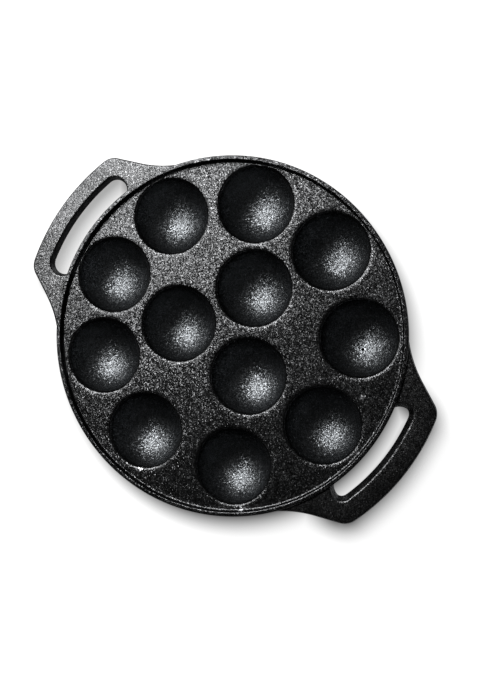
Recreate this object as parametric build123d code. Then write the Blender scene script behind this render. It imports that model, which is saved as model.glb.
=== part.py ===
from build123d import *
import math
import os

# Round cast-iron pan with twelve near-hemispherical cups, a low rim and two loop handles.
# The pan's middle is the origin in plan, Z = 0 is the plane that it stands on,
# and the handles lie along X. Lengths are in millimetres, angles in degrees.

# Cups
cup_mouth_radius = 25.0  # at the deck's top face, before the lip is rounded
cup_depth = 22.0
cup_wall = 4.0
cup_pad_radius = 7.5  # flat on the underside of each cup
cup_root_fillet = 3.0  # where a dome grows out of the deck's underside
lip_rounding = 1.2
outer_cup_web = 8.1  # metal between neighbouring lips of an evenly spaced outer ring
centre_cup_web = 6.8

# Deck and rim
deck_thickness = 4.0
lip_margin = 0.6  # flat deck left between the outermost lip and the rim's fillet
rim_height = 4.0  # above the deck
rim_land = 1.6  # flat on top of the rim, between its rounded edges
rim_fillet = 0.6
rim_rounding = 0.5
rim_bottom_rounding = 1.0
rim_lean = 8.0  # angle by which the inner face leans outwards

# Handles
handle_projection = 27.0  # from the rim's outer face to the grip's outer edge
handle_drop = 1.5  # from the rim's top down to the handle's top
grip_width = 11.5
slot_draft = 2.0  # how much each side of the slot closes in from top to bottom
slot_overrun = 2.5  # how far the slot's outline runs in past the rim's outer face
handle_corner_radius = 12.0
handle_root_radius = 80.0
handle_root_inset = 0.6  # how far inside the rim's outer face the roots' curves end
handle_edge_rounding = 1.5
handle_half_angle = 18.7  # from the handle's middle to the corner of its outline
handle_side_flare = 24.0  # how far each side turns away from the handle's middle line
handle_root_angle = 36.2  # where an arm has thinned out against the rim
slot_half_angle = 18.3

# Where the cups stand: direction from the pan's middle, and distance from it as a share
# of the radius of an even ring. The real cups are spaced a little unevenly.
outer_cup_angles = [355.7, 37.0, 76.4, 115.0, 153.2, 189.9, 226.6, 266.4, 310.9]
outer_ring_shares = [0.989, 1.003, 1.016, 1.020, 1.020, 1.020, 0.999, 0.978, 0.990]
centre_cup_angles = [97.5, 203.8, 336.8]
centre_ring_shares = [1.086, 1.010, 0.895]

# Sizes of the cups that follow from the ones above
bowl_radius = (cup_mouth_radius**2 + cup_depth**2) / (2 * cup_depth)
bowl_rise = bowl_radius - cup_depth  # of the bowl's centre over the deck
lip_angle = math.degrees(math.asin((bowl_rise + lip_rounding) / (bowl_radius + lip_rounding)))
lip_radius = (bowl_radius + lip_rounding) * math.cos(math.radians(lip_angle))
dome_radius = bowl_radius + cup_wall
bowl_centre = math.sqrt(dome_radius**2 - cup_pad_radius**2)

# Heights
deck_top = bowl_centre - bowl_rise
deck_bottom = deck_top - deck_thickness
rim_top = deck_top + rim_height
handle_top = rim_top - handle_drop
handle_thickness = handle_top - deck_bottom

# Radii about the pan's middle
outer_pitch = 2 * lip_radius + outer_cup_web
centre_pitch = 2 * lip_radius + centre_cup_web
outer_ring_radius = outer_pitch / (2 * math.sin(math.pi / len(outer_cup_angles)))
centre_ring_radius = centre_pitch / (2 * math.sin(math.pi / len(centre_cup_angles)))
deck_radius = outer_ring_radius * max(outer_ring_shares) + lip_radius + lip_margin
lean = math.radians(rim_lean)
rim_rise = rim_height - (rim_fillet + rim_rounding) * (1 - math.sin(lean))
rim_land_radius = (
    deck_radius + (rim_fillet + rim_rounding) * math.cos(lean) + rim_rise * math.tan(lean)
)
rim_radius = rim_land_radius + rim_land + rim_rounding
handle_radius = rim_radius + handle_projection
slot_outer_radius = handle_radius - grip_width
slot_inner_radius = rim_radius - slot_overrun
slot_radius = (slot_outer_radius + slot_inner_radius) / 2
slot_width = slot_outer_radius - slot_inner_radius
slot_end_angle = slot_half_angle - math.degrees(slot_width / 2 / slot_radius)


def polar(radius, angle):
    """Point in plan at a distance and a direction from the pan's middle."""
    turn = math.radians(angle)
    return (radius * math.cos(turn), radius * math.sin(turn))


def cup_places():
    """Where each cup stands in plan, by the name of its piece."""
    outer = zip(outer_cup_angles, outer_ring_shares)
    centre = zip(centre_cup_angles, centre_ring_shares)
    places = {}
    for number, (angle, share) in enumerate(outer, 1):
        places[f"outer_cup_{number}"] = polar(outer_ring_radius * share, angle)
    for number, (angle, share) in enumerate(centre, 1):
        places[f"centre_cup_{number}"] = polar(centre_ring_radius * share, angle)
    return places


def turned(edges):
    """Solid of revolution about Z from the edges of an outline in the XZ plane."""
    outline = Plane.XZ * make_face(Curve() + edges)
    return revolve(outline, Axis.Z)


def cup_shape():
    """One cup about Z: collar let into the deck, rounded lip, bowl, dome and standing pad."""
    lip_arc = CenterArc((lip_radius, deck_top - lip_rounding), lip_rounding, 90, 90 - lip_angle)
    bowl_arc = CenterArc((0, bowl_centre), bowl_radius, -90, 90 - lip_angle)
    fillet_reach = dome_radius + cup_root_fillet
    fillet_centre = deck_bottom - cup_root_fillet
    root_angle = math.degrees(math.asin((bowl_centre - fillet_centre) / fillet_reach))
    root_radius = fillet_reach * math.cos(math.radians(root_angle))
    root_arc = CenterArc((root_radius, fillet_centre), cup_root_fillet, 90, 90 - root_angle)
    pad_angle = math.degrees(math.acos(cup_pad_radius / dome_radius))
    dome_arc = CenterArc((0, bowl_centre), dome_radius, -pad_angle, pad_angle - root_angle)
    edges = [
        bowl_arc,
        lip_arc,
        Line((lip_radius, deck_top), (lip_radius, deck_bottom)),
        Line((lip_radius, deck_bottom), (root_radius, deck_bottom)),
        root_arc,
        dome_arc,
        Line((cup_pad_radius, 0), (0, 0)),
        Line((0, 0), (0, bowl_centre - bowl_radius)),
    ]
    return turned(edges)


def past_midway(place, neighbour):
    """Block that holds the neighbour's side of the upright plane midway between two cups."""
    middle = (Vector(*place) + Vector(*neighbour)) / 2
    seam = Plane(origin=middle, x_dir=Vector(*neighbour) - Vector(*place), z_dir=(0, 0, 1))
    reach = 2 * (dome_radius + cup_root_fillet)
    block = Box(reach, 2 * reach, rim_top, align=(Align.MIN, Align.CENTER, Align.MIN))
    return seam * block


def cup(name, places):
    """One cup at its place, ending at flat seams where its dome runs into its neighbours."""
    place = places[name]
    solid = Pos(*place) * cup_shape()
    under_rim = Cylinder(
        rim_radius - rim_bottom_rounding,
        deck_top,
        align=(Align.CENTER, Align.CENTER, Align.MIN),
    )
    solid = solid & under_rim
    for other, neighbour in places.items():
        meets = math.dist(place, neighbour) < 2 * (dome_radius + cup_root_fillet)
        if other != name and meets:
            solid -= past_midway(place, neighbour)
    return solid


def deck_plate(places):
    """Flat deck with a round hole for each cup's collar."""
    plate = Circle(deck_radius)
    for place in places.values():
        plate -= Pos(*place) * Circle(lip_radius)
    return Pos(0, 0, deck_bottom) * extrude(plate, deck_thickness)


def rim_wall():
    """Low wall round the deck: fillet at its foot, leaning inner face, flat top, round edges."""
    fillet_centre = (deck_radius, deck_top + rim_fillet)
    foot_radius = deck_radius + rim_fillet * math.cos(lean)
    foot_height = deck_top + rim_fillet * (1 - math.sin(lean))
    inner_centre = (rim_land_radius, rim_top - rim_rounding)
    outer_centre = (rim_radius - rim_rounding, rim_top - rim_rounding)
    bottom_centre = (rim_radius - rim_bottom_rounding, deck_bottom + rim_bottom_rounding)
    head = (
        rim_land_radius - rim_rounding * math.cos(lean),
        rim_top - rim_rounding * (1 - math.sin(lean)),
    )
    edges = [
        Line((deck_radius, deck_bottom), (deck_radius, deck_top)),
        CenterArc(fillet_centre, rim_fillet, -90, 90 - rim_lean),
        Line((foot_radius, foot_height), head),
        CenterArc(inner_centre, rim_rounding, 90, 90 - rim_lean),
        Line((rim_land_radius, rim_top), (rim_radius - rim_rounding, rim_top)),
        CenterArc(outer_centre, rim_rounding, 0, 90),
        Line((rim_radius, outer_centre[1]), (rim_radius, bottom_centre[1])),
        CenterArc(bottom_centre, rim_bottom_rounding, -90, 90),
        Line((bottom_centre[0], deck_bottom), (deck_radius, deck_bottom)),
    ]
    return turned(edges)


def handle_outline():
    """Plan of the rim's inside with one handle growing out of it, corners and roots rounded."""
    corner = polar(handle_radius, handle_half_angle)
    flare = math.radians(handle_side_flare)
    run = corner[0] * math.cos(flare) - corner[1] * math.sin(flare)
    inner = (corner[0] - run * math.cos(flare), corner[1] + run * math.sin(flare))
    near_corner = (corner[0], -corner[1])
    near_inner = (inner[0], -inner[1])
    blade = make_face(Curve() + [
        ThreePointArc(near_corner, (handle_radius, 0), corner),
        Line(corner, inner),
        Line(inner, near_inner),
        Line(near_inner, near_corner),
    ])
    inner_radius = rim_radius - handle_root_inset
    outline = Circle(inner_radius) + blade
    midway = (rim_radius + handle_radius) / 2
    outline = fillet(
        outline.vertices().filter_by(lambda point: math.hypot(point.X, point.Y) > midway),
        handle_corner_radius,
    )
    roots = outline.vertices().filter_by(
        lambda point: math.hypot(point.X, point.Y) < rim_radius
    )
    return fillet(roots, handle_root_radius)


def slot_cutter():
    """Curved finger slot, round at both ends and a little narrower at the bottom."""
    middle_line = CenterArc((0, 0), slot_radius, -slot_end_angle, 2 * slot_end_angle)
    draft_angle = math.degrees(math.atan(slot_draft / handle_thickness))
    opening = Pos(0, 0, handle_top) * SlotArc(middle_line, slot_width)
    return extrude(opening, -handle_thickness, taper=draft_angle)


def sector(start, end):
    """Upright wedge about Z between two directions, taller and wider than the handle."""
    reach = 2 * handle_radius
    middle = (start + end) / 2
    corners = [(0, 0), polar(reach, start), polar(reach, middle), polar(reach, end)]
    return extrude(Polygon(*corners, align=None), rim_top)


def rim_core():
    """Everything inside the rim's outer face, which the handle's pieces seat against."""
    core = Pos(0, 0, deck_bottom) * extrude(Circle(rim_radius), rim_height + deck_thickness)
    bottom_edge = core.edges().group_by(Axis.Z)[0]
    return fillet(bottom_edge, rim_bottom_rounding)


def handle_blank():
    """The whole handle in one piece, with its slot cut and its edges rounded."""
    blank = Pos(0, 0, deck_bottom) * extrude(handle_outline(), handle_thickness)
    blank -= slot_cutter()
    levels = blank.edges().filter_by_position(Axis.Z, deck_bottom, deck_bottom)
    levels += blank.edges().filter_by_position(Axis.Z, handle_top, handle_top)
    return fillet(levels, handle_edge_rounding) - rim_core()


def handle_pieces():
    """Grip and the two arms of the handle on the +X side."""
    blank = handle_blank()
    return {
        "grip": blank & sector(-slot_end_angle, slot_end_angle),
        "arm_left": blank & sector(slot_end_angle, handle_root_angle),
        "arm_right": blank & sector(-handle_root_angle, -slot_end_angle),
    }


def pan_pieces():
    """Every piece of the pan, by its name."""
    places = cup_places()
    pieces = {"deck_plate": deck_plate(places), "rim_wall": rim_wall()}
    for name in places:
        pieces[name] = cup(name, places)
    for name, piece in handle_pieces().items():
        pieces[f"front_{name}"] = piece
        pieces[f"rear_{name}"] = Rot(0, 0, 180) * piece
    return pieces


os.makedirs("parts", exist_ok=True)
for name, piece in pan_pieces().items():
    export_step(piece, f"parts/{name}.step")
    print(f"{name}: {len(piece.solids())} solid, {piece.volume:.0f} cubic mm")
print(f"rim radius {rim_radius:.2f}, reach {handle_radius:.2f}, deck {deck_top:.2f}, rim {rim_top:.2f}")
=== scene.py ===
# %% [markdown]
# # An aebleskiver pan in seasoned cast iron
# The real pan is one iron casting: a round deck with twelve nearly half-round cups, a
# low rim and a loop handle at each side. Its exact sizes come with the frame, which is
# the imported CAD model. This lesson gives the casting the soft edges that a sand mould
# leaves, an iron finish, light and a camera. All lengths are in metres.

# %% Load the frame
import math

import bpy
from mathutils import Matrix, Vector


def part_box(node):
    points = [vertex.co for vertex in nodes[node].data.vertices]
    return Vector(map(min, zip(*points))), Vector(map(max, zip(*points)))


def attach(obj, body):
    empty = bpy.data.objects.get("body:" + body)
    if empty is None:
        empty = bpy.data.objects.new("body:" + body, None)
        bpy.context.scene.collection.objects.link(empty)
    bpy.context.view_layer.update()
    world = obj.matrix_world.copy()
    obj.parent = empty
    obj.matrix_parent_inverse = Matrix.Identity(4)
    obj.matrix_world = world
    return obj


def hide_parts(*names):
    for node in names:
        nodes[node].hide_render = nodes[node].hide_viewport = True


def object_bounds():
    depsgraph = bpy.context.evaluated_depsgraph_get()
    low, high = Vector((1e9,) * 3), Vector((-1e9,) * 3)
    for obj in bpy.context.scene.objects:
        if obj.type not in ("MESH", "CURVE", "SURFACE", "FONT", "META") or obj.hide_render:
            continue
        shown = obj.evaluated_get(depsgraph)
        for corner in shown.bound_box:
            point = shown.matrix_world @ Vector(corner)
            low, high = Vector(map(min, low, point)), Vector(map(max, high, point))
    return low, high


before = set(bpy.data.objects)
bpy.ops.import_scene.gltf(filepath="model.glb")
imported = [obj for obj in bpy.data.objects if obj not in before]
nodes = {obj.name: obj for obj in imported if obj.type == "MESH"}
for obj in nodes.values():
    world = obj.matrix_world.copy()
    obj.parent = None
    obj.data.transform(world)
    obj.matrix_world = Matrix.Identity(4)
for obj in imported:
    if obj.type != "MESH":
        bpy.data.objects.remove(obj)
cad_low, cad_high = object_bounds()
print("frame:", len(nodes), "nodes, box", [round(v, 4) for v in cad_high - cad_low])

# %% [markdown]
# ## Directions of the picture
# In the picture the pan is turned: its handles run from the upper left to the lower
# right. Lamps and shadows are easier to place by the picture's own right and up. The pan
# has to stay as it is in its frame, so a helper turns such places into the frame.

# %% Picture directions
picture_turn = math.radians(37.858)


def from_picture(right, up, height):
    """Place in the pan's frame of a point given along the picture's right and up."""
    turn = math.cos(picture_turn), math.sin(picture_turn)
    return Vector((turn[0] * right - turn[1] * up, turn[1] * right + turn[0] * up, height))


print("the picture's right:", [round(v, 3) for v in from_picture(1.0, 0.0, 0.0)])

# %% [markdown]
# ## Camera
# The picture is taken from nearly overhead, leaning 12 degrees to the picture's right. A
# camera can be aimed at an object by a constraint, but plain numbers match a picture more
# closely. The place and lens come from where the rim, the cups and the handles lie in the
# picture.

# %% Camera
camera_place = (0.10860, 0.09125, 0.63180)
camera_turn = (-0.7515, 12.4101, 37.8583)
bpy.ops.object.select_all(action="DESELECT")
bpy.ops.object.camera_add(
    location=camera_place,
    rotation=[math.radians(angle) for angle in camera_turn],
)
camera = bpy.context.object
camera.name = "camera"
camera.data.sensor_width = 36.0
camera.data.lens = 49.334
bpy.context.scene.camera = camera
print("camera at", [round(v, 3) for v in camera.location])

# %% [markdown]
# ## Sizes of the casting
# The heights and radii could be typed in again, but read from the frame's nodes they can't
# be wrong. Each cup stands round the middle of the flat pad under it, which is the lowest
# part of its node.

# %% Sizes
mm = 0.001
deck_low, deck_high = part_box("deck_plate")
rim_low, rim_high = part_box("rim_wall")
deck_bottom, deck_top = deck_low.z, deck_high.z
rim_top, rim_radius = rim_high.z, min(rim_high.x, rim_high.y)
print("deck top", round(deck_top, 4), "rim top", round(rim_top, 4), "radius", round(rim_radius, 4))

# %% Middles of the cups
pad_height = 0.1 * mm


def pad_middle(node):
    """Middle of the flat pad under a cup, in plan."""
    pad = [vertex.co for vertex in node.data.vertices if vertex.co.z < pad_height]
    right = (min(p.x for p in pad) + max(p.x for p in pad)) / 2
    back = (min(p.y for p in pad) + max(p.y for p in pad)) / 2
    return Vector((right, back, 0.0))


cup_middles = {name: pad_middle(node) for name, node in nodes.items() if "cup" in name}
print("cups:", len(cup_middles))

# %% [markdown]
# ## Outlines that are spun
# A cup and the rim are turned shapes. They could be sculpted from a ball or a ring, but a
# spun outline gives every curve its exact radius. So each starts as one point, which is
# extruded along half its outline and then spun round. Arcs are worked out as short
# straight steps.

# %% Draw an outline
def arc(centre, radius, start, end, steps):
    """Points of an arc in the upright plane, from one angle in degrees to another."""
    turns = [math.radians(start + (end - start) * step / steps) for step in range(steps + 1)]
    return [(centre[0] + radius * math.cos(t), centre[1] + radius * math.sin(t)) for t in turns]


def drawn_outline(name, points):
    """Object with one chain of edges through points given as distance and height."""
    bpy.ops.object.select_all(action="DESELECT")
    bpy.ops.mesh.primitive_plane_add(size=mm, location=(0.0, 0.0, 0.0))
    piece = bpy.context.object
    piece.name = name
    bpy.ops.object.mode_set(mode="EDIT")
    bpy.ops.mesh.select_all(action="SELECT")
    bpy.ops.mesh.merge(type="CENTER")
    bpy.ops.transform.translate(value=(points[0][0], 0.0, points[0][1]))
    for near, far in zip(points, points[1:]):
        step = (far[0] - near[0], 0.0, far[1] - near[1])
        bpy.ops.mesh.extrude_region_move(TRANSFORM_OT_translate={"value": step})
    return piece


print("a quarter arc in 4 steps has", len(arc((0.0, 0.0), mm, 0.0, 90.0, 4)), "points")

# %% Spin an outline
merge_distance = 0.002 * mm


def spun(piece, steps):
    """Spins a drawn outline once round the upright axis and closes it."""
    bpy.ops.mesh.select_all(action="SELECT")
    bpy.ops.mesh.spin(
        steps=steps,
        angle=2 * math.pi,
        center=(0.0, 0.0, 0.0),
        axis=(0.0, 0.0, 1.0),
    )
    bpy.ops.mesh.select_all(action="SELECT")
    bpy.ops.mesh.remove_doubles(threshold=merge_distance)
    bpy.ops.mesh.normals_make_consistent(inside=False)
    bpy.ops.object.mode_set(mode="OBJECT")
    return piece


def select_only(piece):
    """Makes one object the selected and the active one."""
    bpy.ops.object.select_all(action="DESELECT")
    piece.select_set(True)
    bpy.context.view_layer.objects.active = piece


print("points nearer than", merge_distance, "are merged")

# %% [markdown]
# ## Cups
# A cup of the real pan is a ball-shaped bowl, open nearly to its full width. Its lip turns
# over in a small curve, which catches the light, and then rises to the deck in a wide
# gentle one, which shades off slowly in the picture. Underneath it is a dome with a small
# flat pad. A bevel can't join two curves of such different size, so the lip is part of the
# outline, which runs from the bowl's bottom over the lip, down into the deck and along the
# dome. The bowl's radius follows from its depth and from where the lip's curves end.

# %% Cup sizes
cup_depth = 22.0 * mm
lip_radius = 28.7 * mm
lip_rounding = 1.9 * mm
lip_slope = 9.0
lip_slope_rounding = 13.0 * mm
pad_radius = 7.5 * mm
root_fillet = 3.0 * mm

slope_turn = math.radians(lip_slope)
lip_across = lip_radius - (lip_slope_rounding - lip_rounding) * math.sin(slope_turn)
lip_drop = lip_slope_rounding - (lip_slope_rounding - lip_rounding) * math.cos(slope_turn)
lip_rise = cup_depth - lip_drop
bowl_radius = (lip_across**2 + lip_rise**2 - lip_rounding**2) / (2 * (lip_rounding + lip_rise))
bowl_centre = deck_top + bowl_radius - cup_depth
lip_angle = math.degrees(math.asin((bowl_radius - lip_rise) / (bowl_radius + lip_rounding)))
print("cup: bowl radius", round(bowl_radius, 5), "lip radius", round(lip_radius, 5))

# %% Sizes under the cup
dome_radius = math.hypot(pad_radius, bowl_centre)
root_centre = deck_bottom - root_fillet
root_angle = math.degrees(math.asin((bowl_centre - root_centre) / (dome_radius + root_fillet)))
root_radius = (dome_radius + root_fillet) * math.cos(math.radians(root_angle))
pad_angle = math.degrees(math.acos(pad_radius / dome_radius))
print("dome radius", round(dome_radius, 5), "thickness", round(dome_radius - bowl_radius, 5))

# %% One cup
bowl_steps, lip_steps, slope_steps, root_steps, dome_steps = 48, 12, 8, 8, 32
cup_sides = 128
ball_middle = (0.0, bowl_centre)
lip_middle = (lip_across, deck_top - lip_drop)
slope_middle = (lip_radius, deck_top - lip_slope_rounding)
root_middle = (root_radius, root_centre)

cup_outline = arc(ball_middle, bowl_radius, -90.0, -lip_angle, bowl_steps)
cup_outline += arc(lip_middle, lip_rounding, 180.0 - lip_angle, 90.0 + lip_slope, lip_steps)[1:]
cup_outline += arc(slope_middle, lip_slope_rounding, 90.0 + lip_slope, 90.0, slope_steps)[1:]
cup_outline += [(lip_radius, deck_bottom)]
cup_outline += arc(root_middle, root_fillet, 90.0, 180.0 - root_angle, root_steps)
cup_outline += arc(ball_middle, dome_radius, -root_angle, -pad_angle, dome_steps)[1:]
cup_outline += [(0.0, 0.0)]
cup = spun(drawn_outline("cup", cup_outline), cup_sides)
print("one cup:", len(cup.data.polygons), "faces")

# %% [markdown]
# ## Twelve cups
# The cup is copied to each place, each copy with its own mesh. Where neighbours run into
# each other, both are cut off at the upright plane midway between them, as the casting's
# own seams lie. Bisect would cut faster, but the fill of its cuts left double faces here,
# so a block beyond the plane is taken away instead. What would reach out through the rim
# is taken off with a round block.

# %% Cutting helpers
def cut_with(piece, operation, cutter):
    """Cuts a piece with another one by a modifier, which is applied."""
    select_only(piece)
    modifier = piece.modifiers.new("cut", "BOOLEAN")
    modifier.operation = operation
    modifier.solver = "EXACT"
    modifier.object = cutter
    bpy.ops.object.modifier_apply(modifier="cut")


def round_block(name, middle, radius, low, high, sides):
    """Adds an upright round block between two heights."""
    bpy.ops.object.select_all(action="DESELECT")
    bpy.ops.mesh.primitive_cylinder_add(
        vertices=sides,
        radius=radius,
        depth=high - low,
        location=(middle.x, middle.y, (low + high) / 2),
    )
    block = bpy.context.object
    block.name = name
    bpy.ops.object.transform_apply(location=True, rotation=True, scale=True)
    return block


def remove(piece):
    """Deletes one object."""
    select_only(piece)
    bpy.ops.object.delete()


overshoot = 5.0 * mm
print("cutters stand", overshoot, "past what they cut")

# %% Cut between two cups
block_size = 100.0 * mm


def cut_midway(piece, middle, neighbour):
    """Cuts a cup off at the upright plane midway to a neighbour, with a block beyond it."""
    away = neighbour - middle
    bpy.ops.object.select_all(action="DESELECT")
    bpy.ops.mesh.primitive_cube_add(
        size=block_size,
        location=middle + away.normalized() * (away.length + block_size) / 2,
        rotation=(0.0, 0.0, math.atan2(away.y, away.x)),
    )
    block = bpy.context.object
    bpy.ops.object.transform_apply(location=True, rotation=True, scale=True)
    cut_with(piece, "DIFFERENCE", block)
    remove(block)


cup_reach = dome_radius + root_fillet
print("cups nearer than", round(2 * cup_reach, 4), "are cut apart")

# %% Copies of the cup
pan_axis = Vector((0.0, 0.0, 0.0))
rim_sides = 384
rim_cover = 1.0 * mm
cup_limit = rim_radius - rim_cover
inside_rim = round_block("inside_rim", pan_axis, cup_limit, -overshoot, rim_top + overshoot, rim_sides)
cups = {}
for name, middle in cup_middles.items():
    select_only(cup)
    bpy.ops.object.duplicate(linked=False)
    piece = bpy.context.object
    piece.name = f"{name}_cast"
    piece.location = middle
    bpy.ops.object.transform_apply(location=True, rotation=True, scale=True)
    for other, neighbour in cup_middles.items():
        if other != name and (neighbour - middle).length < 2 * cup_reach:
            cut_midway(piece, middle, neighbour)
    if middle.length + cup_reach > cup_limit:
        cut_with(piece, "INTERSECT", inside_rim)
    cups[name] = piece
remove(cup)
remove(inside_rim)
print("cups:", len(cups))

# %% [markdown]
# ## Rim
# The rim is a low wall. Its inner face rolls up out of the deck, leans out a little and
# rolls over a narrow top. A pipe with bevelled edges would come close, but each of its
# edges has its own radius, so it is spun from its outline, like the cup.

# %% Rim sizes
rim_foot_radius = 115.3 * mm
rim_fillet = 1.4 * mm
rim_lean = 8.0
rim_rounding = 0.8 * mm
rim_bottom_rounding = 1.0 * mm

leaning = math.radians(rim_lean)
rim_curves = rim_fillet + rim_rounding
wall_rise = rim_top - deck_top - rim_curves * (1 - math.sin(leaning))
land_radius = rim_foot_radius + rim_curves * math.cos(leaning) + wall_rise * math.tan(leaning)
print("rim: top", round((rim_radius - rim_rounding - land_radius) / mm, 2), "mm wide")

# %% Rim
rim_steps, rim_bottom_steps = 10, 8
fillet_middle = (rim_foot_radius, deck_top + rim_fillet)
inner_middle = (land_radius, rim_top - rim_rounding)
outer_middle = (rim_radius - rim_rounding, rim_top - rim_rounding)
bottom_middle = (rim_radius - rim_bottom_rounding, deck_bottom + rim_bottom_rounding)

rim_outline = [(rim_foot_radius, deck_bottom)]
rim_outline += arc(fillet_middle, rim_fillet, -90.0, -rim_lean, rim_steps)
rim_outline += arc(inner_middle, rim_rounding, 180.0 - rim_lean, 90.0, rim_steps)
rim_outline += arc(outer_middle, rim_rounding, 90.0, 0.0, rim_steps)
rim_outline += arc(bottom_middle, rim_bottom_rounding, 0.0, -90.0, rim_bottom_steps)
rim_outline += [(rim_foot_radius, deck_bottom)]
rim = spun(drawn_outline("rim_cast", rim_outline), rim_sides)
print("rim:", len(rim.data.polygons), "faces")

# %% [markdown]
# ## Deck
# The deck is a flat plate with a hole for each cup's lip. It starts as a round block,
# whose edge hides in the rim. Holes could be inset and deleted in its face, but they run
# into each other where the cups stand close, so each one is cut with a round block.

# %% Deck
hidden_edge = 1.0 * mm
deck_radius = rim_foot_radius + hidden_edge
deck = round_block("deck_cast", pan_axis, deck_radius, deck_bottom, deck_top, rim_sides)
for middle in cup_middles.values():
    cutter = round_block(
        "hole", middle, lip_radius, deck_bottom - overshoot, deck_top + overshoot, cup_sides
    )
    cut_with(deck, "DIFFERENCE", cutter)
    remove(cutter)
print("deck:", len(deck.data.polygons), "faces")

# %% [markdown]
# ## Front handle
# The picture shows the front handle's finger slot narrower than the rear one's, with a
# wall that slopes in further, as a casting's two sides often differ. A new handle could
# be modelled, but the node's outline is right. So the three pieces of that handle are
# copied from their nodes, and the slot's upper edge, its mouth, and its lower edge, its
# foot, are moved in. Four numbers say how far, across the slot and along it. Between the
# heights wall_foot and wall_mouth the slot's wall is straight, and beyond them it is round.

# %% Slot of the front handle
mouth_across, mouth_along = 2.0 * mm, 1.2 * mm
foot_across, foot_along = 3.7 * mm, 2.4 * mm
grip_width = 11.5 * mm
slot_overrun = 2.5 * mm
slot_half_angle = 18.3
edge_rounding = 1.5 * mm

slot_outer = cad_high.x - grip_width
slot_middle = (slot_outer + rim_radius - slot_overrun) / 2
mouth_reach = slot_outer - slot_middle
slot_end_angle = math.radians(slot_half_angle) - mouth_reach / slot_middle
handle_low, handle_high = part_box("front_grip")
foot_rounding_height, mouth_rounding_height = 1.9 * mm, 1.1 * mm
wall_foot = handle_low.z + foot_rounding_height
wall_mouth = handle_high.z - mouth_rounding_height
print("slot middle", round(slot_middle, 4), "half width", round(mouth_reach, 4))

# %% Handle helpers
def merged_copy(name):
    """Copy of a node with its triangles joined up and its stored shading cleared."""
    select_only(nodes[name])
    bpy.ops.object.duplicate(linked=False)
    piece = bpy.context.object
    piece.name = f"{name}_cast"
    piece.rotation_mode = "XYZ"
    bpy.ops.mesh.customdata_custom_splitnormals_clear()
    bpy.ops.object.mode_set(mode="EDIT")
    bpy.ops.mesh.select_all(action="SELECT")
    bpy.ops.mesh.remove_doubles(threshold=merge_distance)
    bpy.ops.object.mode_set(mode="OBJECT")
    return piece


def resize_points(piece, points, value, middle):
    """Resizes the vertices with the given numbers about a point."""
    select_only(piece)
    bpy.ops.object.mode_set(mode="EDIT")
    bpy.ops.mesh.select_mode(type="VERT")
    bpy.ops.mesh.select_all(action="DESELECT")
    bpy.ops.object.mode_set(mode="OBJECT")
    for number in points:
        piece.data.vertices[number].select = True
    bpy.ops.object.mode_set(mode="EDIT")
    bpy.ops.transform.resize(value=value, center_override=middle)
    bpy.ops.object.mode_set(mode="OBJECT")


def turn_about_axis(piece, angle):
    """Turns a piece about the pan's axis."""
    select_only(piece)
    piece.rotation_euler.z = angle
    bpy.ops.object.transform_apply(location=False, rotation=True, scale=False)


grip = merged_copy("front_grip")
arms = {name: merged_copy(name) for name in ("front_arm_left", "front_arm_right")}
print("copied:", grip.name, *[arm.name for arm in arms.values()])

# %% [markdown]
# Round the slot, the vertices stand in rows, each at one height. Along the grip a row runs
# round the pan's axis, so it is resized about that axis. At a round end it runs round the
# end's own middle. Each row has its own share, so that the wall between mouth and foot
# stays straight. In the half of the end beside the rim, rows move along the slot only.

# %% Rows of the slot's wall
row_margin = 0.1 * mm


def slot_rows(piece, middle, reach):
    """Rows of vertices round the slot's wall, by their distance from a point and height."""
    rows = {}
    for vertex in piece.data.vertices:
        distance = (vertex.co - Vector(middle)).to_2d().length
        if distance < reach + edge_rounding + row_margin:
            row = round(distance / mm, 1) * mm, round(vertex.co.z / mm, 1) * mm
            rows.setdefault(row, []).append(vertex.index)
    return rows


def moved_in(height):
    """How far a row of the slot's wall moves in, across the slot and along it."""
    rise = min(max((height - wall_foot) / (wall_mouth - wall_foot), 0.0), 1.0)
    across = foot_across + rise * (mouth_across - foot_across)
    return across, foot_along + rise * (mouth_along - foot_along)


middle_height = (wall_foot + wall_mouth) / 2
print("half way up, rows move in by", [round(v / mm, 2) for v in moved_in(middle_height)], "mm")

# %% Move the slot's wall
pan_middle = (0.0, 0.0, 0.0)
end_middle = (slot_middle, 0.0, 0.0)
for (distance, height), row in slot_rows(grip, pan_middle, slot_middle + mouth_reach).items():
    share = 1.0 - moved_in(height)[0] / distance
    resize_points(grip, row, (share, share, 1.0), pan_middle)
for name, arm in arms.items():
    turn = slot_end_angle if "left" in name else -slot_end_angle
    turn_about_axis(arm, -turn)
    for (distance, height), row in slot_rows(arm, end_middle, mouth_reach).items():
        across, along = moved_in(height)
        outer = [number for number in row if arm.data.vertices[number].co.x > slot_middle]
        inner = [number for number in row if number not in outer]
        along_share = 1.0 - along / distance
        resize_points(arm, outer, (1.0 - across / distance, along_share, 1.0), end_middle)
        resize_points(arm, inner, (1.0, along_share, 1.0), end_middle)
    turn_about_axis(arm, turn)
print("front slot moved in by", mouth_across, "at its mouth and", foot_across, "at its foot")

# %% [markdown]
# ## Shader helpers
# A material is a tree of nodes. It could be wired by hand in the shader editor. In a
# script a few small helpers that add a node and wire it keep the finishes short.

# %% Add nodes
def new_node(tree, kind, **settings):
    """Adds a shader node and sets its properties and the default values of its inputs."""
    node = tree.nodes.new(kind)
    for name, value in settings.items():
        if hasattr(node, name):
            setattr(node, name, value)
        else:
            node.inputs[name.replace("_", " ")].default_value = value
    return node


def noise(tree, place, scale, detail=2.0, roughness=0.5):
    """Noise texture on the piece's own coordinates; scale is in cells per metre."""
    node = new_node(tree, "ShaderNodeTexNoise", Scale=scale, Detail=detail, Roughness=roughness)
    tree.links.new(place, node.inputs["Vector"])
    return node.outputs["Fac"]


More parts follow.
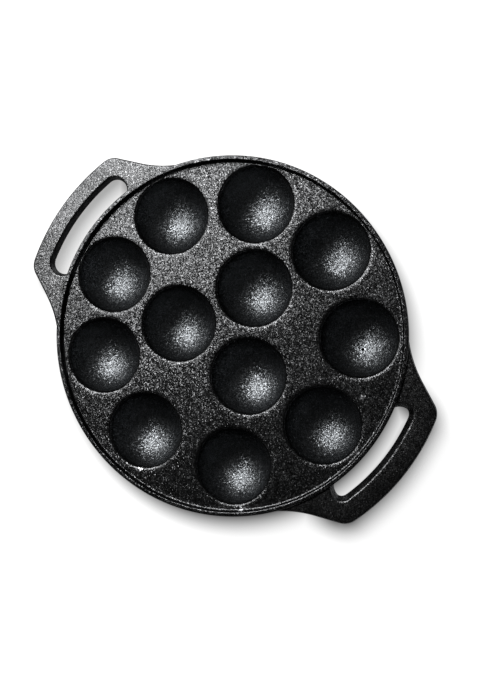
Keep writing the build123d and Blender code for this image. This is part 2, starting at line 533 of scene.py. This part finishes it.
def spread(tree, value, low, high, new_low, new_high, smooth=False):
    """Stretches a value from one range to another and clamps it."""
    node = new_node(tree, "ShaderNodeMapRange")
    if smooth:
        node.interpolation_type = "SMOOTHSTEP"
    names = "From Min", "From Max", "To Min", "To Max"
    for name, number in zip(names, (low, high, new_low, new_high)):
        node.inputs[name].default_value = number
    tree.links.new(value, node.inputs["Value"])
    return node.outputs["Result"]


print("helpers: new_node, noise, spread")

# %% Join nodes
def mixed(tree, share, first, second):
    """Mixes two colours by a share that comes from a node."""
    node = new_node(tree, "ShaderNodeMix", data_type="RGBA")
    for socket, colour in ((6, first), (7, second)):
        if isinstance(colour, tuple):
            node.inputs[socket].default_value = (*colour, 1.0)
        else:
            tree.links.new(colour, node.inputs[socket])
    tree.links.new(share, node.inputs[0])
    return node.outputs[2]


def combined(tree, operation, first, second):
    """Adds, multiplies or compares two values, each a number or a node's output."""
    node = new_node(tree, "ShaderNodeMath", operation=operation)
    for socket, value in zip(node.inputs, (first, second)):
        if isinstance(value, float):
            socket.default_value = value
        else:
            tree.links.new(value, socket)
    return node.outputs[0]


def joined(tree, operation, first, second):
    """Adds, subtracts or multiplies two vectors, each a tuple or a node's output."""
    node = new_node(tree, "ShaderNodeVectorMath", operation=operation)
    for socket, value in zip(node.inputs, (first, second)):
        if isinstance(value, tuple):
            socket.default_value = value
        else:
            tree.links.new(value, socket)
    return node.outputs[0]


def scaled(tree, vector, factor):
    """Multiplies a vector or a colour by a value that comes from a node."""
    node = new_node(tree, "ShaderNodeVectorMath", operation="SCALE")
    tree.links.new(vector, node.inputs[0])
    tree.links.new(factor, node.inputs["Scale"])
    return node.outputs[0]


print("helpers: mixed, combined, joined, scaled")

# %% [markdown]
# ## Flaws of the casting
# The real casting has a few flaws, which show where they are in the picture: rough bright
# spots on a lip, on the deck and at the rim's foot, and a small pit in one bowl. They are
# too small to be worth a mesh of their own. Each is a place and a size, and the iron's
# colour changes within that distance. The pit has no hollow in the mesh, so its middle is
# painted black as painted shade, and a brighter ring round it is a painted glint.

# %% Casting marks
rough_marks = [
    (Vector((7.8, -108.8, 25.0)) * mm, 3.5 * mm),
    (Vector((95.6, 24.6, 25.0)) * mm, 3.5 * mm),
    (Vector((78.5, -84.7, 25.5)) * mm, 3.5 * mm),
]
pit = (Vector((75.6, 47.6, 4.2)) * mm, 2.6 * mm)


def near_mark(tree, place, middle, reach):
    """One at the middle of a mark and nothing beyond its reach."""
    away = new_node(tree, "ShaderNodeVectorMath", operation="DISTANCE")
    away.inputs[1].default_value = middle
    tree.links.new(place, away.inputs[0])
    return spread(tree, away.outputs["Value"], 0.0, reach, 1.0, 0.0)


print("rough spots:", len(rough_marks), "and one pit")

# %% [markdown]
# ## Iron
# A sand mould leaves iron covered in fine grains, about half a millimetre wide, which glint
# one by one. Seasoning turns them black with a dull gloss. Bump alone makes soft dimples
# that never glint, so each grain is a cell of a Voronoi pattern that is tilted its own way.
# Noise makes the colour and the gloss uneven. The bowls are rougher than the deck, and
# their iron is painted a little lighter and bluer, a painted sheen that stands for their
# brighter, bluish highlights, so that finish comes in below the lip.

# %% Speckles of the iron
grain_scale = 1900.0
chip_scale = 900.0
grain_dim, grain_bright = 0.45, 1.55
rough_bright = 12.0
pit_glint_paint = 2.5


def speckles(tree, place):
    """Brightness of the single grains, higher on the rough spots, with a painted glint round the pit
    and painted shade in it.
    """
    # Nearly all of a noise lies between about 0.3 and 0.7, so that range is stretched.
    grains = noise(tree, place, grain_scale, 1.0, 0.5)
    speckle = spread(tree, grains, 0.34, 0.66, grain_dim, grain_bright)
    chipped = noise(tree, place, chip_scale, 1.0, 0.5)
    for middle, reach in rough_marks:
        chips = combined(tree, "MULTIPLY", near_mark(tree, place, middle, reach), chipped)
        bright = spread(tree, chips, 0.20, 0.50, 1.0, rough_bright)
        speckle = combined(tree, "MULTIPLY", speckle, bright)
    in_pit = near_mark(tree, place, *pit)
    # The pit is painted: brighter round it as a painted glint, black in its middle as painted shade.
    painted_pit_glint = spread(tree, in_pit, 0.1, 0.4, 1.0, pit_glint_paint)
    painted_pit_shade = spread(tree, in_pit, 0.5, 0.65, 1.0, 0.0)
    speckle = combined(tree, "MULTIPLY", speckle, painted_pit_glint)
    return combined(tree, "MULTIPLY", speckle, painted_pit_shade)


print("grains are", round(1.0 / grain_scale / mm, 2), "mm wide")

# %% Colour of the iron
patch_scale = 38.0


def iron_colour(tree, place, in_bowl, flat, bowl):
    """Black iron with rubbed patches, speckled grain by grain, lighter and bluer in the bowls as a
    painted sheen.
    """
    patches = spread(tree, noise(tree, place, patch_scale, 4.0, 0.55), 0.35, 0.65, 0.0, 1.0)
    flat_colour = mixed(tree, patches, flat["black"], flat["rubbed"])
    bowl_colour_and_sheen = mixed(tree, patches, bowl["black"], bowl["rubbed"])
    body = mixed(tree, in_bowl, flat_colour, bowl_colour_and_sheen)
    return scaled(tree, body, speckles(tree, place))


print("patches are about", round(1.0 / patch_scale / mm), "mm wide")

# %% Surface of the iron
uneven_scale = 300.0
uneven_gloss = 0.04
dent_scale = 500.0
dent_depth = 0.06 * mm


def iron_roughness(tree, place, in_bowl, flat, bowl):
    """Dullness of the iron, a little uneven."""
    coarse = noise(tree, place, uneven_scale, 3.0, 0.6)
    uneven = spread(tree, coarse, 0.3, 0.7, -uneven_gloss, uneven_gloss)
    dull = spread(tree, in_bowl, 0.0, 1.0, flat["roughness"], bowl["roughness"])
    return combined(tree, "ADD", dull, uneven)


def iron_normal(tree, place, in_bowl, flat, bowl):
    """Direction that each grain faces, with shallow dents over several grains."""
    grains = new_node(tree, "ShaderNodeTexVoronoi", Scale=grain_scale)
    tree.links.new(place, grains.inputs["Vector"])
    # A cell's colour is a random vector round the middle one, so without that it leans.
    lean = joined(tree, "SUBTRACT", grains.outputs["Color"], (0.5, 0.5, 0.5))
    tilted = scaled(tree, lean, spread(tree, in_bowl, 0.0, 1.0, flat["tilt"], bowl["tilt"]))
    normal = new_node(tree, "ShaderNodeNewGeometry").outputs["Normal"]
    facing = joined(tree, "NORMALIZE", joined(tree, "ADD", normal, tilted), (0.0, 0.0, 0.0))
    bump = new_node(tree, "ShaderNodeBump", Strength=1.0, Distance=dent_depth)
    tree.links.new(noise(tree, place, dent_scale, 2.0, 0.5), bump.inputs["Height"])
    tree.links.new(facing, bump.inputs["Normal"])
    return bump.outputs["Normal"]


print("dents are", dent_depth, "deep")

# %% Cast iron
bowl_finish_starts = deck_top - 1.0 * mm
bowl_finish_full = deck_top - 5.0 * mm
edge_tint = 0.15


def cast_iron(name, flat, bowl):
    """Seasoned, sand-cast iron, with its finish on the flats and the one inside a bowl."""
    material = bpy.data.materials.new(name)
    material.use_nodes = True
    tree = material.node_tree
    shader = tree.nodes["Principled BSDF"]
    shader.inputs["Metallic"].default_value = 1.0
    shader.inputs["Specular Tint"].default_value = (edge_tint, edge_tint, edge_tint, 1.0)
    place = new_node(tree, "ShaderNodeTexCoord").outputs["Object"]
    apart = new_node(tree, "ShaderNodeSeparateXYZ")
    tree.links.new(place, apart.inputs[0])
    in_bowl = spread(tree, apart.outputs["Z"], bowl_finish_full, bowl_finish_starts, 1.0, 0.0)
    made = {
        "Base Color": iron_colour(tree, place, in_bowl, flat, bowl),
        "Roughness": iron_roughness(tree, place, in_bowl, flat, bowl),
        "Normal": iron_normal(tree, place, in_bowl, flat, bowl),
    }
    for socket, value in made.items():
        tree.links.new(value, shader.inputs[socket])
    return material


print("the bowls' finish is full at", round(bowl_finish_full, 4))

# %% [markdown]
# ## Four finishes
# The record names four finishes: deck, rim, cups and handles. On the real pan they are one
# iron, but in the picture the handles are smoother, and the bowls rougher, than the deck.
# The bowls' iron is also painted lighter and bluer, a painted sheen for their brighter,
# bluish highlights. Four separate materials would drift apart, so one function makes them
# all, with a few values for each.

# %% Finishes
flats = {
    "black": (0.058, 0.059, 0.060),
    "rubbed": (0.078, 0.079, 0.081),
    "roughness": 0.30,
    "tilt": 0.41,
}
# The bowls' colours are lighter and bluer than the flats', a painted sheen for their brighter
# highlights; their roughness and tilt are their own.
bowl_finish_and_sheen = {
    "black": (0.093, 0.098, 0.102),
    "rubbed": (0.124, 0.130, 0.136),
    "roughness": 0.37,
    "tilt": 0.50,
}
grips = {
    "black": (0.070, 0.071, 0.072),
    "rubbed": (0.098, 0.099, 0.101),
    "roughness": 0.33,
    "tilt": 0.34,
}
iron = {
    "iron_deck": cast_iron("iron_deck", flats, bowl_finish_and_sheen),
    "iron_rim": cast_iron("iron_rim", flats, flats),
    "iron_cup": cast_iron("iron_cup", flats, bowl_finish_and_sheen),
    "iron_handle": cast_iron("iron_handle", grips, grips),
}
print("finishes:", ", ".join(iron))

# %% [markdown]
# ## Finish the pieces
# Every new piece is shaded smooth except at its sharp seams, rides on the pan, stands for
# its node and takes that node's finish. The rear handle's nodes have the right shape, so
# they stay and only get the handles' iron.

# %% Finish the pieces
seam_angle = math.radians(40.0)


def finished(piece, finish, *replaced):
    """Shades a new piece, gives it its finish and lets it stand for its nodes."""
    select_only(piece)
    bpy.ops.object.shade_smooth_by_angle(angle=seam_angle)
    piece.data.materials.clear()
    piece.data.materials.append(iron[finish])
    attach(piece, "root")
    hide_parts(*replaced)


finished(deck, "iron_deck", "deck_plate")
finished(rim, "iron_rim", "rim_wall")
finished(grip, "iron_handle", "front_grip")
for name, arm in arms.items():
    finished(arm, "iron_handle", name)
for name, piece in cups.items():
    finished(piece, "iron_cup", name)
print("new pieces:", 3 + len(arms) + len(cups))

# %% Finish the nodes
for name, node in nodes.items():
    finish = "iron_handle" if "arm" in name or "grip" in name else "iron_deck"
    node.data.materials.clear()
    node.data.materials.append(iron[finish])
    for face in node.data.polygons:
        face.material_index = 0
print("nodes with a finish:", len(nodes))

# %% [markdown]
# ## Floor
# The pan stands on a wide flat sheet of plain white paper. The lamps light the paper, so
# it keeps the pan's soft shadow. A floor lit to pure white would need more light, which
# would spoil the iron. Instead the paper also glows white, for the camera and for what the
# iron mirrors, and less of it close to the pan, which paints a soft shadow beside the pan
# over the lamps' own. The first step gives the distance from the pan's axis and from the
# line through its handles, in a frame that is slightly shifted and shrunk, because the
# painted shadow lies a little to the side.

# %% Places on the floor
floor_material = bpy.data.materials.new("floor_white")
floor_material.use_nodes = True
tree = floor_material.node_tree
tree.nodes.remove(tree.nodes["Principled BSDF"])
place = new_node(tree, "ShaderNodeTexCoord").outputs["Object"]

shade_scale = 0.971
shade_middle = from_picture(4.5 * mm, 6.0 * mm, 0.0)
shaded_place = joined(tree, "MULTIPLY_ADD", place, (shade_scale, shade_scale, 0.0))
shaded_place.node.inputs[2].default_value = shade_middle
apart = new_node(tree, "ShaderNodeSeparateXYZ")
tree.links.new(shaded_place, apart.inputs[0])
out = new_node(tree, "ShaderNodeVectorMath", operation="LENGTH")
tree.links.new(shaded_place, out.inputs[0])
radius = out.outputs["Value"]
across = combined(tree, "ABSOLUTE", apart.outputs["Y"], 0.0)
print("shade middle", [round(v, 4) for v in shade_middle])

# %% [markdown]
# The painted shadow is drawn from the pan's plan: a round pan, and a handle at each side
# that is a ring with straight sides and a slot in it. Every edge is blurred.

# %% Painted shadow of the pan
shade_blur = 13.0 * mm
shade_strength = 1.2
handle_reach = cad_high.x
slot_reach = handle_reach - 15.8 * mm
slot_half_length = 37.0 * mm
handle_half_width = 52.0 * mm


def blurred(value, edge, inside, outside):
    """One level inside an edge and another outside it, with a soft step between them."""
    low, high = edge - shade_blur, edge + shade_blur
    return spread(tree, value, low, high, inside, outside, smooth=True)


beyond_slot = blurred(radius, slot_reach, 0.0, 1.0)
beside_slot = blurred(across, slot_half_length, 0.0, 1.0)
round_slot = combined(tree, "MAXIMUM", beyond_slot, beside_slot)
in_reach = blurred(radius, handle_reach, 1.0, 0.0)
in_width = blurred(across, handle_half_width, 1.0, 0.0)
in_handle = combined(tree, "MULTIPLY", combined(tree, "MULTIPLY", in_reach, in_width), round_slot)
# The pan's blurred plan is the mask of a painted shadow: inside it the floor's glow drops.
painted_shadow_mask = combined(tree, "MAXIMUM", blurred(radius, rim_radius, 1.0, 0.0), in_handle)
white = spread(tree, painted_shadow_mask, 0.0, 1.0 / shade_strength, 1.0, 0.0)
print("shade reaches", round(handle_reach + shade_blur, 3), "from the axis")

# %% Floor's glow
paper_colour = (0.33, 0.33, 0.33, 1.0)
light_path = new_node(tree, "ShaderNodeLightPath")
rays = [light_path.outputs[f"Is {kind} Ray"] for kind in ("Camera", "Glossy", "Transmission")]
shown = combined(tree, "MAXIMUM", rays[0], rays[1])
shown = combined(tree, "MAXIMUM", shown, rays[2])
glow = new_node(tree, "ShaderNodeEmission", Color=(1.0, 1.0, 1.0, 1.0))
tree.links.new(combined(tree, "MULTIPLY", white, shown), glow.inputs["Strength"])
lit = new_node(tree, "ShaderNodeBsdfDiffuse", Color=paper_colour)
both = new_node(tree, "ShaderNodeAddShader")
tree.links.new(lit.outputs[0], both.inputs[0])
tree.links.new(glow.outputs[0], both.inputs[1])
tree.links.new(both.outputs[0], tree.nodes["Material Output"].inputs["Surface"])
print("the floor glows for", len(rays), "kinds of rays")

# %% Floor
floor_radius = 4.0
floor_drop = 0.3 * mm
floor_sides = 96
bpy.ops.object.select_all(action="DESELECT")
bpy.ops.mesh.primitive_circle_add(
    vertices=floor_sides,
    radius=floor_radius,
    fill_type="NGON",
    location=(0.0, 0.0, -floor_drop),
)
floor = bpy.context.object
floor.name = "floor"
bpy.ops.object.transform_apply(location=True, rotation=True, scale=True)
floor.data.materials.append(floor_material)
print("floor:", 2 * floor_radius, "m across")

# %% [markdown]
# ## Light
# The gloss of the picture's flats and bowls tells where its lamps stand: a strong soft
# one far off to the picture's upper left, which makes the bright spot in each bowl, a
# weak one near and high at the left, which lights the left handle and the deck beside it,
# and one low at the left, which draws the thin bright line on each lip. A single large
# lamp would run the three into one dull shine.

# %% Lamps
def soft_lamp(name, place, aim, size, power):
    """Round area lamp at a place, turned to a point."""
    bpy.ops.object.light_add(type="AREA", location=place)
    lamp = bpy.context.object
    lamp.name = name
    lamp.data.shape = "DISK"
    lamp.data.size = size
    lamp.data.energy = power
    lamp.rotation_euler = (aim - place).to_track_quat("-Z", "Y").to_euler()
    return lamp


lamp_aim = Vector((0.0, 0.0, deck_top))
lamps = [
    soft_lamp("key_lamp", from_picture(-0.30, 0.60, 0.70), lamp_aim, 0.40, 9.7),
    soft_lamp("side_lamp", from_picture(-0.20, 0.10, 0.35), lamp_aim, 0.10, 0.45),
    soft_lamp("low_lamp", from_picture(-0.80, 0.50, 0.40), lamp_aim, 0.35, 2.2),
]
print("lamps:", {lamp.name: round(lamp.data.energy, 2) for lamp in lamps})

# %% [markdown]
# Hardly any light comes from elsewhere. The world is white for the camera only, because in
# the picture the iron's steep sides mirror nothing bright.

# %% World
world_light = 0.012
world = bpy.data.worlds.new("sky")
bpy.context.scene.world = world
world.use_nodes = True
tree = world.node_tree
sky = tree.nodes["Background"]
sky.inputs["Color"].default_value = (1.0, 1.0, 1.0, 1.0)
seen = new_node(tree, "ShaderNodeLightPath").outputs["Is Camera Ray"]
tree.links.new(spread(tree, seen, 0.0, 1.0, world_light, 1.0), sky.inputs["Strength"])
bpy.context.scene.view_settings.view_transform = "Standard"
print("world light", world_light)
